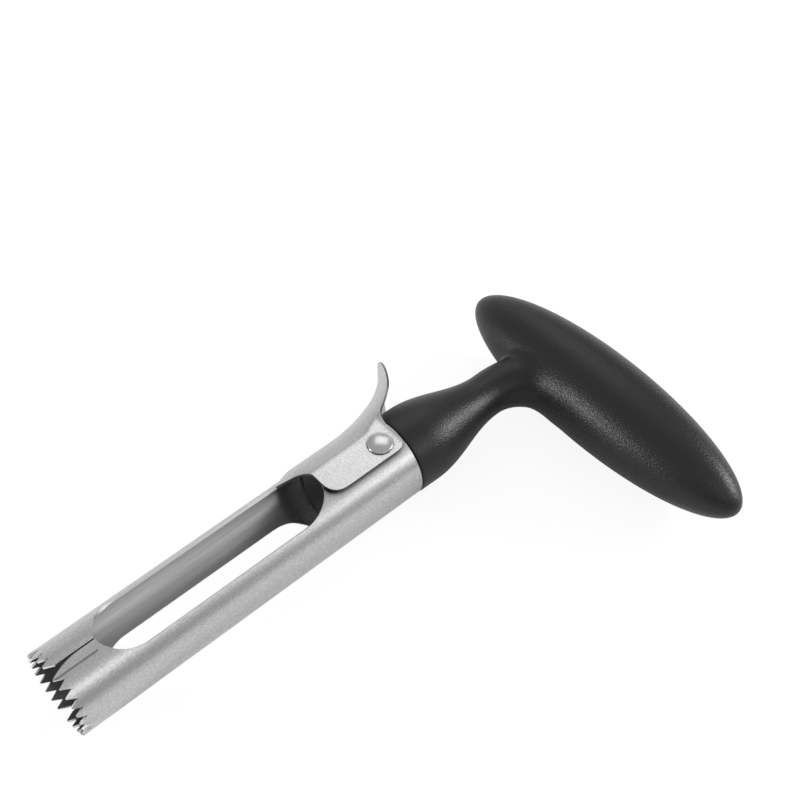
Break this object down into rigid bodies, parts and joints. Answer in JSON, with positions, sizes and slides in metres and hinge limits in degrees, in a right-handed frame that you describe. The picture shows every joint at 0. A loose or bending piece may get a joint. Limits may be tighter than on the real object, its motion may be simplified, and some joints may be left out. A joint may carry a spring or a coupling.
{
  "type": "fruit corer",
  "caption": "Hand fruit corer: toothed steel tube split lengthwise, one half hinged on a rivet and opened by a thumb tab, on a black T grip.",
  "frame": {"origin": "centre of the toothed ring, in the plane of the tooth tips", "axes": "+X along the tube from the teeth to the grip, +Y to the side of the thumb tab, +Z along the pivot rivet, up when the tool lies on its side"},
  "size_m": [0.1799, 0.1013, 0.0278],
  "materials": {
    "blade_steel": "satin stainless sheet, brushed lengthwise",
    "rivet_steel": "turned and polished stainless",
    "core_plastic": "black moulded plastic",
    "grip_black": "soft matt black with a fine spark-eroded grain"
  },
  "bodies": {
    "tool_body": {"fixed_blade": "blade_steel", "pivot_rivet": "rivet_steel", "handle_core": "core_plastic", "soft_grip": "grip_black"},
    "hinged_half": {"hinged_blade": "blade_steel"}
  },
  "joints": [
    {"name": "blade_pivot", "type": "hinge", "parent": "tool_body", "child": "hinged_half", "pos_m": [0.1031, -0.0019, 0], "axis": [0, 0, -1], "range_deg": [0, 12]}
  ]
}
